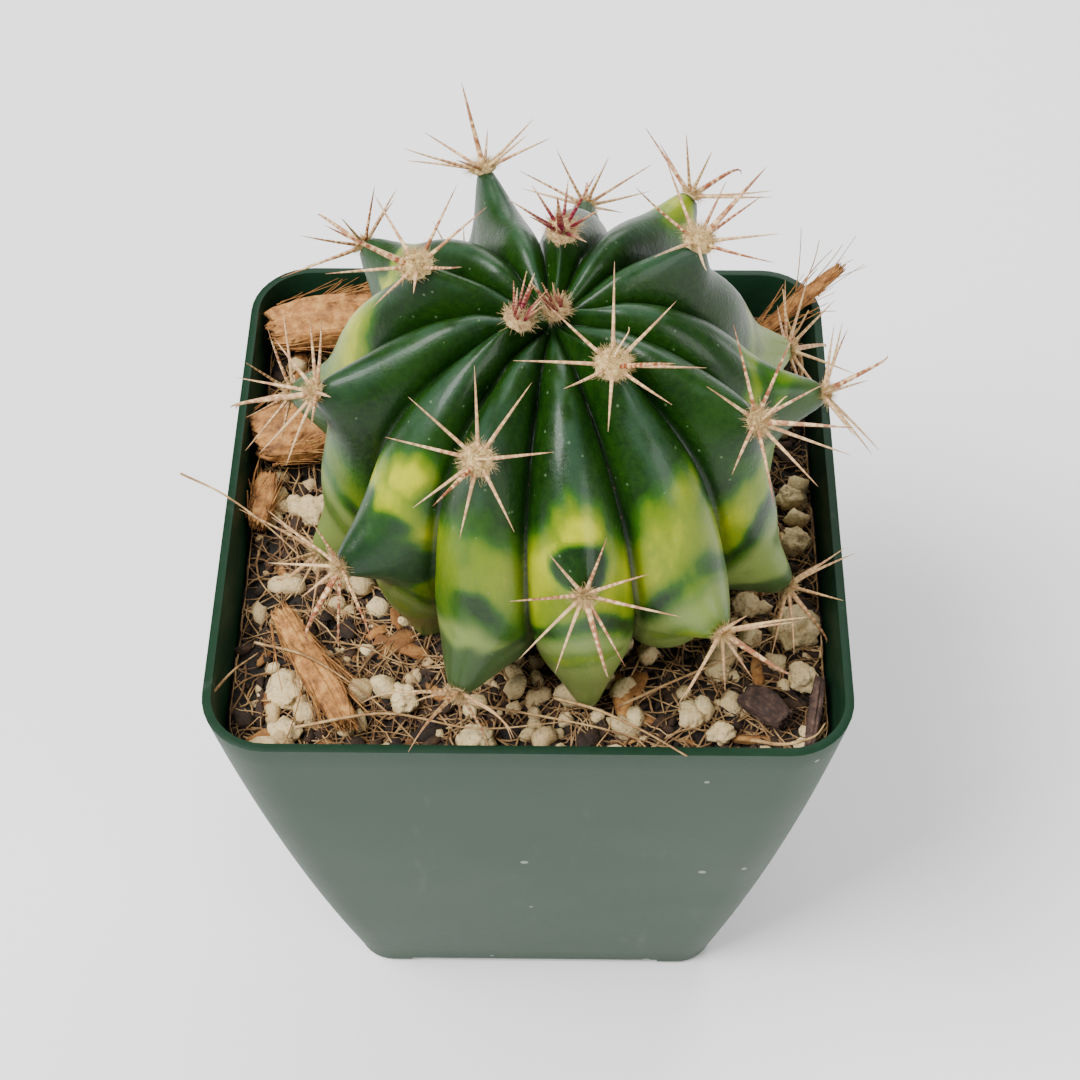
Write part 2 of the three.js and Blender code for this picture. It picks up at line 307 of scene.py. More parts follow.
def makePotPlastic(name, pale, deep, roughLow, roughHigh):
    material, tree, shader = newTree(name)
    where = objectPlace(tree)
    mottle = useGroup(tree, mottleGroup, Vector=where, Large=38, Fine=900)
    color = blendColor(tree, between(tree, mottle["Value"], 0.35, 0.65), deep, pale)
    specks = useGroup(tree, speckGroup, Vector=where, Scale=210, Size=0.1)["Mask"]
    color = blendColor(tree, times(tree, specks, 0.5), color, rgb(0.42, 0.46, 0.4))
    streaks = grain(tree, objectPlace(tree, (1, 1, 0.2)), 260, 3)
    color = blendColor(tree, between(tree, streaks, 0.64, 0.85, 0, 0.1), color, rgb(0.3, 0.34, 0.3))
    tree.links.new(color, shader.inputs["Base Color"])
    tree.links.new(between(tree, mottle["Value"], 0.3, 0.7, roughLow, roughHigh), shader.inputs["Roughness"])
    waves = grain(tree, where, 55, 1, 0.4)
    height = plus(tree, times(tree, waves, 0.9), times(tree, mottle["Height"], 0.03))
    tree.links.new(bump(tree, height, 0.35, 0.0016), shader.inputs["Normal"])
    shader.inputs["Specular IOR Level"].default_value = 0.12
    return material


def makeStemSkin():
    material, tree, shader = newTree("stemSkin")
    where = objectPlace(tree)
    mottle = useGroup(tree, mottleGroup, Vector=where, Large=170, Fine=1500)
    yellow = readAttribute(tree, "yellow")
    pale = readAttribute(tree, "pale")
    groove = readAttribute(tree, "groove")
    bloom = readAttribute(tree, "bloom")
    streaky = grain(tree, objectPlace(tree, (1, 1, 0.35)), 420, 4, 0.6)
    green = blendColor(tree, between(tree, mottle["Value"], 0.38, 0.62),
                       rgb(0.003, 0.02, 0.0015), rgb(0.009, 0.042, 0.0012))
    edge = plus(tree, yellow, between(tree, streaky, 0.3, 0.7, -0.1, 0.1))
    halo = blendColor(tree, between(tree, edge, 0.12, 0.42), green, rgb(0.024, 0.095, 0.001))
    lime = blendColor(tree, between(tree, edge, 0.38, 0.72), halo, rgb(0.16, 0.225, 0.0003))
    bright = blendColor(tree, between(tree, edge, 0.75, 1.0), lime, rgb(0.42, 0.44, 0.0002))
    soft = blendColor(tree, times(tree, pale, 0.85), bright, rgb(0.19, 0.26, 0.06))
    # bluish tint on the young rib crests: painted sheen, partly real waxy bloom; near the dark tips the skin's
    # own bluish colour
    bloomAndSheenTint = blendColor(tree, times(tree, bloom, 0.4), soft, rgb(0.035, 0.085, 0.05))
    # near-black in the grooves between ribs: painted shade
    dark = blendColor(tree, times(tree, groove, 0.75), bloomAndSheenTint, rgb(0.002, 0.012, 0.002))
    specks = useGroup(tree, speckGroup, Vector=where, Scale=950, Size=0.13)["Mask"]
    dots = blendColor(tree, times(tree, specks, 0.3), dark, rgb(0.2, 0.3, 0.16))
    crumbs = useGroup(tree, speckGroup, Vector=where, Scale=1700, Size=0.3)["Mask"]
    dusty = blendColor(tree, times(tree, crumbs, between(tree, groove, 0.75, 1.0, 0, 0.9)), dots,
                       rgb(0.16, 0.09, 0.04))
    tree.links.new(dusty, shader.inputs["Base Color"])
    rough = between(tree, plus(tree, mottle["Value"], times(tree, bloom, 0.2)), 0.35, 0.8, 0.3, 0.48)
    tree.links.new(rough, shader.inputs["Roughness"])
    pores = grain(tree, where, 2600, 2, 0.5)
    height = plus(tree, times(tree, mottle["Value"], 0.8), times(tree, pores, 0.14))
    tree.links.new(bump(tree, height, 0.3, 0.0006), shader.inputs["Normal"])
    shader.inputs["Subsurface Weight"].default_value = 0.12
    shader.inputs["Subsurface Radius"].default_value = (0.0012, 0.002, 0.0006)
    shader.inputs["Subsurface Scale"].default_value = 1
    shader.inputs["Specular IOR Level"].default_value = 0.2
    shader.inputs["Coat Weight"].default_value = 0.12
    shader.inputs["Coat Roughness"].default_value = 0.16
    return material


def makeWool():
    material, tree, shader = newTree("areoleWool")
    shade = readAttribute(tree, "shade")
    where = objectPlace(tree)
    tint = grain(tree, where, 1400, 3)
    old = blendColor(tree, between(tree, tint, 0.3, 0.7), rgb(0.56, 0.37, 0.14), rgb(0.9, 0.69, 0.33))
    color = blendColor(tree, shade, old, rgb(0.6, 0.3, 0.2))
    tree.links.new(color, shader.inputs["Base Color"])
    tree.links.new(bump(tree, grain(tree, where, 4200, 4), 0.8, 0.0004), shader.inputs["Normal"])
    shader.inputs["Roughness"].default_value = 0.95
    return material


def makeSpineHorn():
    # banded horn: young spines magenta with straw tips, grown ones cream with red-brown bands
    material, tree, shader = newTree("spineHorn")
    along = readAttribute(tree, "along")
    age = readAttribute(tree, "age")
    red = readAttribute(tree, "red")
    rings = addNode(tree, "ShaderNodeMath", {0: along, 1: 75.0}, operation="MULTIPLY")
    wave = addNode(tree, "ShaderNodeMath", {0: rings.outputs[0]}, operation="SINE")
    patchy = grain(tree, objectPlace(tree), 1100, 3, 0.7)
    bands = between(tree, plus(tree, between(tree, wave.outputs[0], -1, 1, 0, 0.1), patchy), 0.44, 0.6)
    grown = blendColor(tree, times(tree, bands, red), rgb(0.74, 0.5, 0.25), rgb(0.25, 0.06, 0.014))
    tipRed = blendColor(tree, times(tree, between(tree, along, 0.55, 1.0), times(tree, red, 0.7)), grown,
                        rgb(0.16, 0.05, 0.018))
    straw = blendColor(tree, times(tree, bands, 0.4), rgb(0.56, 0.36, 0.17), rgb(0.34, 0.12, 0.05))
    elder = blendColor(tree, between(tree, age, 0.6, 1.0), tipRed, straw)
    magenta = blendColor(tree, between(tree, along, 0.3, 0.85), rgb(0.17, 0.001, 0.02), grown)
    color = blendColor(tree, between(tree, age, 0.09, 0.12), magenta, elder)
    tree.links.new(color, shader.inputs["Base Color"])
    tree.links.new(bump(tree, wave.outputs[0], 0.4, 0.0001), shader.inputs["Normal"])
    tree.links.new(between(tree, patchy, 0.3, 0.7, 0.38, 0.55), shader.inputs["Roughness"])
    shader.inputs["Subsurface Weight"].default_value = 0.1
    shader.inputs["Subsurface Radius"].default_value = (0.0006, 0.0004, 0.0002)
    shader.inputs["Subsurface Scale"].default_value = 1
    return material


def makeStone(name, deep, pale, stain):
    material, tree, shader = newTree(name)
    where = objectPlace(tree)
    shade = readAttribute(tree, "shade")
    mottle = useGroup(tree, mottleGroup, Vector=where, Large=420, Fine=2600)
    color = blendColor(tree, between(tree, mottle["Value"], 0.36, 0.62), deep, pale)
    color = blendColor(tree, between(tree, shade, 0, 1, 0, 0.6), color, stain)
    pits = useGroup(tree, speckGroup, Vector=where, Scale=2300, Size=0.32)["Mask"]
    color = blendColor(tree, times(tree, pits, 0.6), color, rgb(0.28, 0.2, 0.11))
    tree.links.new(color, shader.inputs["Base Color"])
    tree.links.new(between(tree, mottle["Height"], 0.3, 0.7, 0.8, 1.0), shader.inputs["Roughness"])
    height = plus(tree, mottle["Height"], times(tree, pits, -1))
    tree.links.new(bump(tree, height, 0.7, 0.0005), shader.inputs["Normal"])
    return material


def makeFiber(name, deep, mid, pale, scale=900, stretch=(1, 1, 1)):
    # coir, husk and bark: streaks of three browns, each copy a little different
    material, tree, shader = newTree(name)
    where = objectPlace(tree, stretch)
    shade = readAttribute(tree, "shade")
    streaks = grain(tree, where, scale, 5, 0.7)
    color = blendColor(tree, between(tree, streaks, 0.3, 0.5), deep, mid)
    color = blendColor(tree, times(tree, between(tree, streaks, 0.5, 0.72), 0.9), color, pale)
    color = blendColor(tree, times(tree, shade, 0.8), color, deep)
    tree.links.new(color, shader.inputs["Base Color"])
    tree.links.new(between(tree, streaks, 0.3, 0.7, 0.72, 0.95), shader.inputs["Roughness"])
    tree.links.new(bump(tree, streaks, 0.8, 0.0005), shader.inputs["Normal"])
    return material


def makeFloorFinish():
    material, tree, shader = newTree("paleFloor")
    tint = grain(tree, objectPlace(tree), 3, 2)
    tree.links.new(blendColor(tree, tint, rgb(0.9, 0.9, 0.9), rgb(0.93, 0.93, 0.93)),
                   shader.inputs["Base Color"])
    shader.inputs["Roughness"].default_value = 0.9
    return material


potOuter = makePotPlastic("potPlastic", rgb(0.046, 0.071, 0.05), rgb(0.034, 0.056, 0.038), 0.45, 0.6)
# inner plastic painted much darker than the outer: painted shade inside the pot, also on the wall's rim edge
potInnerShaded = makePotPlastic("potPlasticInner", rgb(0.008, 0.03, 0.014), rgb(0.005, 0.022, 0.01), 0.4, 0.55)
stemSkin = makeStemSkin()
wool = makeWool()
spineHorn = makeSpineHorn()
pumice = makeStone("pumice", rgb(0.5, 0.35, 0.15), rgb(0.84, 0.67, 0.37), rgb(0.38, 0.22, 0.09))
# near-black browns: the mix's dark peat, darkened further as painted shade of the gaps between crumbs and
# fibres
soilBaseAndGapShade = makeFiber("mixBase", rgb(0.003, 0.002, 0.001), rgb(0.01, 0.006, 0.003), rgb(0.03, 0.017, 0.009),
                     1100)
crumb = makeFiber("mixCrumb", rgb(0.008, 0.004, 0.002), rgb(0.045, 0.02, 0.008), rgb(0.14, 0.065, 0.024), 1300)
husk = makeFiber("coirHusk", rgb(0.1, 0.034, 0.007), rgb(0.38, 0.16, 0.038), rgb(0.66, 0.37, 0.12), 700)
coir = makeFiber("coirStrand", rgb(0.09, 0.038, 0.013), rgb(0.38, 0.22, 0.085), rgb(0.74, 0.52, 0.25), 500)
barkSkin = makeFiber("barkSkin", rgb(0.015, 0.007, 0.005), rgb(0.07, 0.035, 0.024), rgb(0.2, 0.12, 0.085), 1200)
print("materials made")


camera = {
    "distance": 3.4755 * 2 * rimHalf,
    "azimuth": 0.0309,
    "elevation": 0.9125,
    "roll": -0.0129,
    "aim": (0.8 * mm, 0, -8.7 * mm),  # from the middle of the rim's plane
    "lens": 70.5,
}


def makeCamera():
    azimuth, elevation = camera["azimuth"], camera["elevation"]
    back = Vector((math.sin(azimuth) * math.cos(elevation), -math.cos(azimuth) * math.cos(elevation),
                   math.sin(elevation)))
    rimCentre = Vector((0, 0, rimHeight))
    bpy.ops.object.camera_add(location=rimCentre + back * camera["distance"])
    made = bpy.context.object
    made.name = "camera"
    made.data.lens = camera["lens"]
    made.data.sensor_width = 36
    made.data.clip_start = 0.01
    toAim = rimCentre + Vector(camera["aim"]) - made.location
    made.rotation_mode = "QUATERNION"
    made.rotation_quaternion = toAim.to_track_quat("-Z", "Y") @ Quaternion((0, 0, 1), camera["roll"])
    bpy.context.scene.camera = made


light = {
    "key": {"at": (-0.3, -0.16, 0.6), "size": 0.34, "watts": 8.6},
    "fill": {"at": (0.5, -0.42, 0.3), "size": 0.4, "watts": 3},
    "back": {"at": (0.1, 0.5, 0.42), "size": 0.5, "watts": 4},
    "sky": 0.36,
}


def makeLights():
    target = Vector((0, 0, 0.06))
    for name in ("key", "fill", "back"):
        lamp = light[name]
        bpy.ops.object.light_add(type="AREA", location=lamp["at"])
        made = bpy.context.object
        made.name = name + "Light"
        made.data.size = lamp["size"]
        made.data.energy = lamp["watts"]
        made.rotation_mode = "QUATERNION"
        made.rotation_quaternion = (target - made.location).to_track_quat("-Z", "Y")
    world = bpy.data.worlds.new("studio")
    bpy.context.scene.world = world
    world.use_nodes = True
    sky = world.node_tree.nodes["Background"]
    sky.inputs["Color"].default_value = (1, 1, 1, 1)
    sky.inputs["Strength"].default_value = light["sky"]


def makeFloor():
    deselect()
    bpy.ops.mesh.primitive_plane_add(size=6, location=(0, 0, footZ))
    floor = newest("floor")
    bpy.ops.object.transform_apply(location=True)
    floor.data.materials.append(makeFloorFinish())


potShape = {
    "baseHalf": 21.9 * mm,
    "baseCorner": 4.6 * mm,
    "cornerSteps": 9,
    "bulge": 0.29,
    "wall": 0.9 * mm,
    "rings": 18,
    "footLength": 7 * mm,
    "footRound": 1.1 * mm,
    "drainRadius": 3 * mm,
    "drainOut": 9.5 * mm,
}


def potHalfAt(z):
    # half the pot's outer width at a height, with its slightly bowed sides
    t = (rimHeight - z) / (rimHeight - footZ)
    return rimHalf + (potShape["baseHalf"] - rimHalf) * (t + potShape["bulge"] * t * (t - 1))


def makePot():
    deselect()
    near = mm / 10
    bottomHalf = potHalfAt(0)
    bpy.ops.mesh.primitive_plane_add(size=2 * bottomHalf)
    pot = newest("potShell")
    bpy.ops.object.mode_set(mode="EDIT")
    bpy.ops.mesh.select_all(action="SELECT")
    bpy.ops.mesh.bevel(offset=potShape["baseCorner"], segments=potShape["cornerSteps"], affect="VERTICES")
    # the walls grow from the floor's edge, ring by ring
    last = bottomHalf
    for i in range(potShape["rings"]):
        low = rimHeight * i / potShape["rings"]
        high = rimHeight * (i + 1) / potShape["rings"]
        pickEdges(pot, lambda edge: edge.is_boundary and edge.verts[0].co.z > low - near)
        bpy.ops.mesh.extrude_edges_move(TRANSFORM_OT_translate={"value": (0, 0, high - low)})
        ratio = potHalfAt(high) / last
        bpy.ops.transform.resize(value=(ratio, ratio, 1), center_override=(0, 0, 0))
        last = potHalfAt(high)
    # feet under the corners
    arch = bottomHalf - potShape["footLength"]
    for side in (-arch, arch):
        for axis in ((1, 0, 0), (0, 1, 0)):
            pickFaces(pot, lambda face: abs(face.calc_center_median().z) < near)
            bpy.ops.mesh.bisect(plane_co=[side * a for a in axis], plane_no=axis)

    def inFoot(face):
        middle = face.calc_center_median()
        return abs(middle.z) < near and abs(middle.x) > arch and abs(middle.y) > arch

    pickFaces(pot, inFoot)
    bpy.ops.mesh.extrude_region_move(TRANSFORM_OT_translate={"value": (0, 0, footZ)})

    def footEdge(edge):
        low = all(vert.co.z < footZ + near for vert in edge.verts)
        return low and len(edge.link_faces) == 2 and any(face.normal.z > -0.9 for face in edge.link_faces)

    bpy.ops.mesh.select_all(action="SELECT")
    bpy.ops.mesh.normals_make_consistent(inside=False)
    pickEdges(pot, footEdge)
    bpy.ops.mesh.bevel(offset=potShape["footRound"], segments=4)
    bpy.ops.object.mode_set(mode="OBJECT")
    pot.data.materials.append(potOuter)
    # the inner faces take the darker plastic with painted shade
    pot.data.materials.append(potInnerShaded)
    modify(pot, "SOLIDIFY", thickness=potShape["wall"], offset=-1, use_even_offset=True,
           material_offset=1, material_offset_rim=1)
    for k in range(4):
        deselect()
        spot = (potShape["drainOut"] * math.cos(k * tau / 4), potShape["drainOut"] * math.sin(k * tau / 4), 0)
        bpy.ops.mesh.primitive_cylinder_add(radius=potShape["drainRadius"], depth=6 * mm, vertices=40,
                                            location=spot)
        drill = bpy.context.object
        modify(pot, "BOOLEAN", object=drill, operation="DIFFERENCE", solver="EXACT")
        removeObjects(drill)
    modify(pot, "BEVEL", width=0.22 * mm, segments=2, limit_method="ANGLE", angle_limit=math.radians(50))
    activate(pot)
    bpy.ops.object.shade_smooth_by_angle(angle=math.radians(35))
    place(pot, "pot_plastic", "pot")
    print("pot made")


stem = {
    "foot": (2.6 * mm, -1.2 * mm),
    "lean": 0.105,
    "roll": -0.011,
    "ribs": 13,
    "firstAzimuth": math.radians(-1.1),
    "divergence": math.radians(138.345),
    "outline": [(0, 32.8), (3, 34.1), (7, 35.8), (12.2, 35.3), (18.4, 31.9), (23.6, 25.5),
                (26.9, 15.8), (27.3, 9), (25.6, 1.6), (20.4, -4.6), (12, -9.6), (0, -12)],
    "youngRise": 1.4,
    "shoulderRise": 2,
    "tipFlat": 0.2,
    # how far each areole's tip stands over the rib beside it
    "tipRise": [1.2, 1.4, 2.4, 1.4, 2.2, 3.6, 1.4, 6.4, 1.8, 3.2, 4.4, 1.6, 5, 6.6, 5, 7, 3] + [4.4] * 7 + [4],
    "baseFade": 70,
    "baseEnd": 82,
    "grooveDepth": 3.4,
    "grooveShare": 0.36,
    "tubercleAbove": 7.4,
    "tubercleBelow": 4.6,
    "waist": 0.4,
    "firstDistance": 0.6,
    "spacing": 3.93,
    "power": 0.845,
    "stepsPerRib": 24,
    "rows": 230,
}
areoleCount = 24
ribTurn = tau / stem["ribs"]
ribTwist = math.pi * 10 / stem["ribs"] - stem["divergence"]


def runOutline(steps=24):
    # points along a smooth curve through the outline, with the distance run so far
    line = np.array(stem["outline"], float)
    mirror = np.array([[-1, 1]])
    padded = np.vstack([line[1:2] * mirror, line, line[-2:-1] * mirror])
    track = []
    for i in range(len(line) - 1):
        a, b, c, d = padded[i:i + 4]
        for k in range(steps):
            t = k / steps
            track.append(b + 0.5 * t * (c - a + t * (2 * a - 5 * b + 4 * c - d + t * (3 * (b - c) + d - a))))
    track.append(line[-1])
    track = np.array(track)
    return track, np.concatenate([[0], np.cumsum(np.hypot(*np.diff(track, axis=0).T))])


outlineTrack, outlineRun = runOutline()
outlineLength = outlineRun[-1]


def outlineAt(run):
    radius = np.interp(run, outlineRun, outlineTrack[:, 0])
    height = np.interp(run, outlineRun, outlineTrack[:, 1])
    step = 0.4
    aheadR = np.interp(run + step, outlineRun, outlineTrack[:, 0])
    aheadZ = np.interp(run + step, outlineRun, outlineTrack[:, 1])
    backR = np.interp(run - step, outlineRun, outlineTrack[:, 0])
    backZ = np.interp(run - step, outlineRun, outlineTrack[:, 1])
    length = np.hypot(aheadR - backR, aheadZ - backZ)
    return radius, height, (backZ - aheadZ) / length, (aheadR - backR) / length


def areoleRun(order):
    return stem["firstDistance"] + stem["spacing"] * order ** stem["power"]


def orderAt(run):
    return (np.maximum(0, run - stem["firstDistance"]) / stem["spacing"]) ** (1 / stem["power"])


def ribOf(order):
    return (-5 * order) % stem["ribs"]


def stemSurface(rib, side, run):
    # side goes from -0.5 in one groove over 0 on the crest to 0.5; run is the distance from the top
    radius, height, outR, outZ = outlineAt(run)
    flank = 1 - (2 * np.abs(side)) ** 2
    buried = smoothStep(run, stem["baseFade"], stem["baseEnd"])
    peak = np.zeros_like(run)
    rises = np.zeros((stem["ribs"],) + np.shape(run))
    for number in range(stem["ribs"]):
        orders = [order for order in range(areoleCount + stem["ribs"]) if ribOf(order) == number]
        stops = [(0, stem["youngRise"])] + ([(10, stem["shoulderRise"])] if areoleRun(orders[0]) > 12 else [])
        stops += [(areoleRun(order), stem["tipRise"][min(order, areoleCount)]) for order in orders]
        rises[number] = np.interp(run, *zip(*stops))
        for order in orders:
            along = run - areoleRun(order)
            reach = np.where(along < 0, stem["tubercleAbove"], stem["tubercleBelow"])
            away = np.hypot(along / reach, side / stem["waist"])
            cone = np.exp(-2.1 * np.maximum(0, away - stem["tipFlat"]) ** 1.25)
            peak = np.maximum(peak, np.where(rib == number, cone, 0))
    # beside a groove the height blends into the next rib's
    own = np.take_along_axis(rises, np.broadcast_to(rib, run.shape)[None], 0)[0]
    beside = (rib + np.where(side < 0, -1, 1)) % stem["ribs"]
    beyond = np.take_along_axis(rises, np.broadcast_to(beside, run.shape)[None], 0)[0]
    depth = np.minimum(stem["grooveDepth"], radius * stem["grooveShare"])
    flank = np.maximum(flank, 0)
    rise = (own * (1 - np.abs(side)) + beyond * np.abs(side)) * (1 - buried)
    drop = rise * (1 - peak * flank ** 0.5) + depth * (1 - flank ** 0.7)
    r = np.maximum(0, radius - outR * drop)
    azimuth = stem["firstAzimuth"] + (rib + side) * ribTurn + ribTwist * orderAt(run)
    points = np.stack([r * np.cos(azimuth), r * np.sin(azimuth), height - outZ * drop], axis=-1) * mm
    return points, peak, flank


def plantMatrix():
    turn = Matrix.Rotation(stem["lean"], 4, "X") @ Matrix.Rotation(stem["roll"], 4, "Y")
    return Matrix.Translation((*stem["foot"], rimHeight)) @ turn


def toWorld(local):
    matrix = np.array(plantMatrix())
    return local @ matrix[:3, :3].T + matrix[:3, 3]


def makeStem():
    deselect()
    segments = stem["ribs"] * stem["stepsPerRib"]
    bpy.ops.mesh.primitive_uv_sphere_add(segments=segments, ring_count=stem["rows"], radius=1)
    body = newest("stem")
    ball = points(body.data)
    polar = np.arccos(np.clip(ball[:, 2], -1, 1)) / math.pi
    turn = np.arctan2(ball[:, 1], ball[:, 0]) / ribTurn
    rib = np.round(turn).astype(int)
    side = turn - rib
    run = polar * outlineLength
    local, peak, flank = stemSurface(rib % stem["ribs"], side, run)
    setPoints(body.data, toWorld(local))
    for name, values in stemColors(rib % stem["ribs"], side, run, peak, flank).items():
        addAttribute(body.data, name, values)
    activate(body)
    bpy.ops.object.shade_smooth()
    body.data.materials.append(stemSkin)
    place(body, "stem_skin", "cactus_stem")
    print("stem made")
    return body


# for each rib: where yellow starts down from the top, how strong it is, how bright its first patch is,
# how far that patch sits off the crest, and where the pale lower zone starts
variegation = {
    "ribs": [(23, 0.75, 0.6, 0.12, 31), (26, 0.45, 0, 0, 31), (21, 0.85, 0.8, 0, 36),
             (23, 0.8, 0.7, 0, 38), (25, 0.6, 0.5, -0.1, 40), (21, 0.75, 0.5, 0, 35),
             (19.5, 0.85, 0.7, 0, 38), (27, 0.62, 0.25, 0, 37.5), (22, 0.95, 1, 0.18, 42),
             (22.5, 0.68, 0.3, 0, 38), (21.5, 0.85, 1, 0, 38), (22.5, 0.8, 0.75, 0.1, 35.5),
             (25.5, 0.68, 0.3, -0.1, 38)],
    "grooveLag": 5.5,  # yellow starts this much later in the grooves
    "paleLag": 9,
    "darkBand": 1.7,  # half width of the dark band over the pale zone
    "darkTips": {13: 3.4, 12: 3.6, 14: 6.8, 15: 5, 17: 4, 19: 5.4, 21: 2.8},
    "darkOvals": {11: (2.3, 2.6, 0.25), 9: (-1, 3, 0.3), 12: (4, 3, 0.3), 10: (-1, 2.5, 0.3),
                  8: (-0.5, 3, 0.32)},
}


def stemColors(rib, side, run, peak, flank):
    look = variegation
    wave = np.array([noise.noise(Vector((r * 0.085 + 7 * k, s * 1.6, k * 3.1)))
                     for r, s, k in zip(run, side, rib)])
    fine = np.array([noise.noise(Vector((r * 0.35, s * 7 + 9 * k, k * 5.3)))
                     for r, s, k in zip(run, side, rib)])
    perRib = np.array(look["ribs"])[rib]
    start, strength, flash, shift, paleStart = perRib.T
    bow = (2 * side) ** 2
    edge = run + wave * 2.6 + fine * 1 - look["grooveLag"] * bow
    yellow = smoothStep(edge - start, -2, 6) * (strength + 0.3 * wave)
    yellow = yellow * (1 - 0.25 * smoothStep(edge - start, 8, 16))
    first = np.hypot((run - start - 3.6 + 3 * bow) / 5, (side - shift) / 0.36)
    yellow = np.maximum(yellow, flash * (1 - smoothStep(first + fine * 0.25, 0.2, 1.15)))
    # the pale zone starts in an arch with a dark band over it and dark streaks inside
    arch = run + wave * 2 + fine * 0.8 - paleStart - look["paleLag"] * bow
    pale = smoothStep(arch, -0.8, 2.4)
    band = (1 - smoothStep(np.abs(arch + 2), 0.3, look["darkBand"] + 1.4)) * smoothStep(wave, -0.5, 0.25)
    inner = (1 - smoothStep(np.abs(arch - 5.5 - 3 * wave), 0.8, 3.4)) * smoothStep(fine + wave, -0.25, 0.45)
    pale = pale * (1 - 0.75 * inner)
    dark = band * 0.85
    bluish = np.zeros_like(run)
    for order, reach in look["darkTips"].items():
        near = np.hypot((run - areoleRun(order)) / reach, side / 0.62)
        zone = (rib == ribOf(order)) * (1 - smoothStep(near + fine * 0.3, 0.75, 1.15))
        dark = np.maximum(dark, zone * 0.85)
        bluish = np.maximum(bluish, zone)
    for order, (above, length, width) in look["darkOvals"].items():
        near = np.hypot((run - areoleRun(order) + above) / length, side / width)
        zone = (rib == ribOf(order)) * (1 - smoothStep(near + fine * 0.22, 0.7, 1.15))
        dark = np.maximum(dark, zone)
    yellow = np.clip(yellow, 0, 1) * (1 - 0.85 * pale) * (1 - dark)
    pale = pale * (1 - dark * 0.95)
    # groove mask: drives painted shade in the grooves and where soil dust lies
    groove = 1 - smoothStep(flank, 0.0, 0.3)
    crest = smoothStep(flank, 0.75, 1.0)
    young = 1 - smoothStep(run, 20, 30)
    # on the young crests this is painted sheen, partly real waxy bloom; near the dark tips it is the skin's
    # bluish colour
    bloom = np.maximum(crest * young * smoothStep(wave + fine, -0.35, 0.35), bluish * 0.5) * (1 - yellow)
    return {"yellow": yellow, "pale": pale, "groove": groove, "bloom": bloom}


def sweep(name, paths, widths, sides=5, **layers):
    # round tubes along the paths, closed at both ends; a layer gives each tube a value
    allPoints, allFaces, alongs, start = [], [], [], 0
    picked = {key: [] for key in layers}
    angles = np.arange(sides) * tau / sides
    ring = np.stack([np.cos(angles), np.sin(angles)], axis=1)
    for number, (path, width) in enumerate(zip(paths, widths)):
        count = len(path)
        ahead = np.gradient(path, axis=0)
        ahead /= np.linalg.norm(ahead, axis=1, keepdims=True) + 1e-12
        helper = np.array([0.31, 0.27, 0.91]) if abs(ahead[0, 2]) < 0.8 else np.array([0.9, 0.4, 0.1])
        across = np.cross(ahead, helper)
        across /= np.linalg.norm(across, axis=1, keepdims=True) + 1e-12
        over = np.cross(ahead, across)
        rings = path[:, None] + width[:, None, None] * (
            ring[None, :, :1] * across[:, None] + ring[None, :, 1:] * over[:, None])
        allPoints.append(rings.reshape(-1, 3))
        for i in range(count - 1):
            for k in range(sides):
                a, b = start + i * sides + k, start + i * sides + (k + 1) % sides
                allFaces.append((a, b, b + sides, a + sides))
        allFaces.append(tuple(start + k for k in reversed(range(sides))))
        allFaces.append(tuple(start + (count - 1) * sides + k for k in range(sides)))
        alongs.append(np.repeat(np.linspace(0, 1, count), sides))
        for key in layers:
            picked[key].append(np.full(count * sides, layers[key][number]))
        start += count * sides
    mesh = bpy.data.meshes.new(name)
    mesh.from_pydata(np.concatenate(allPoints).tolist(), [], allFaces)
    addAttribute(mesh, "along", np.concatenate(alongs))
    for key in layers:
        addAttribute(mesh, key, np.concatenate(picked[key]))
    mesh.polygons.foreach_set("use_smooth", np.ones(len(mesh.polygons), bool))
    obj = bpy.data.objects.new(name, mesh)
    bpy.context.collection.objects.link(obj)
    return obj


def join(name, first, *others):
    activate(first)
    for obj in others:
        obj.select_set(True)
    bpy.ops.object.join()
    first.name = name
    first.data.name = name
    return first


areole = {
    "radials": 8,
    "radialLength": 8.4,
    "centralLength": 9.2,
    "baseWidth": 0.21,
    "hairs": 620,
    "hairLength": 0.85,
    "hairWidth": 0.024,
    "centralLean": (18, 40),
    "radialLean": 68,
    # the youngest areoles are tufts: lean of their spines and share of the full length
    "tufts": {0: (16, 0.38), 1: (22, 0.46), 2: (34, 0.72)},
    # listed per areole: turn of the ring, then the central spine's lean, turn, length and thickness
    "centrals": {
        0: (10, 10, 90, 4.2, 1.3), 1: (0, 12, 140, 4.6, 1.3), 2: (20, 6, 90, 7.4, 2),
        3: (-10, 38, -70, 9, 1.3), 6: (-6, 30, -100, 8, 1.3), 7: (0, 14, 80, 8.6, 1.5),
        8: (5, 34, -60, 9, 1.3), 11: (4, 52, -78, 8.6, 1.5), 13: (12, 20, 10, 8, 1.5),
        14: (0, 40, -70, 9.5, 1.6), 16: (8, 46, -50, 10, 1.6), 19: (14, 52, 90, 12.5, 1.3),
    },
}


def areoleFrame(order):
    # tip of the tubercle and its side, up and out directions, in the world
    run = np.array([areoleRun(order)])
    tip, _, _ = stemSurface(np.array([ribOf(order)]), np.array([0.0]), run)
    tip = tip[0]
    _, _, outR, outZ = outlineAt(run)
    azimuth = math.atan2(tip[1], tip[0])
    out = Vector((outR[0] * math.cos(azimuth), outR[0] * math.sin(azimuth), outZ[0])).normalized()
    side = Vector((-math.sin(azimuth), math.cos(azimuth), 0))
    up = out.cross(side)
    turn = plantMatrix().to_3x3()
    return plantMatrix() @ Vector(tip), turn @ side, turn @ up, turn @ out


def spinePath(foot, direction, bendTo, length, curve, hook, steps=11):
    t = np.linspace(0, 1, steps)[:, None]
    direction, bendTo = np.array(direction), np.array(bendTo)
    path = np.array(foot) + direction * length * t + bendTo * length * (curve * t ** 2 + hook * t ** 6)
    return path


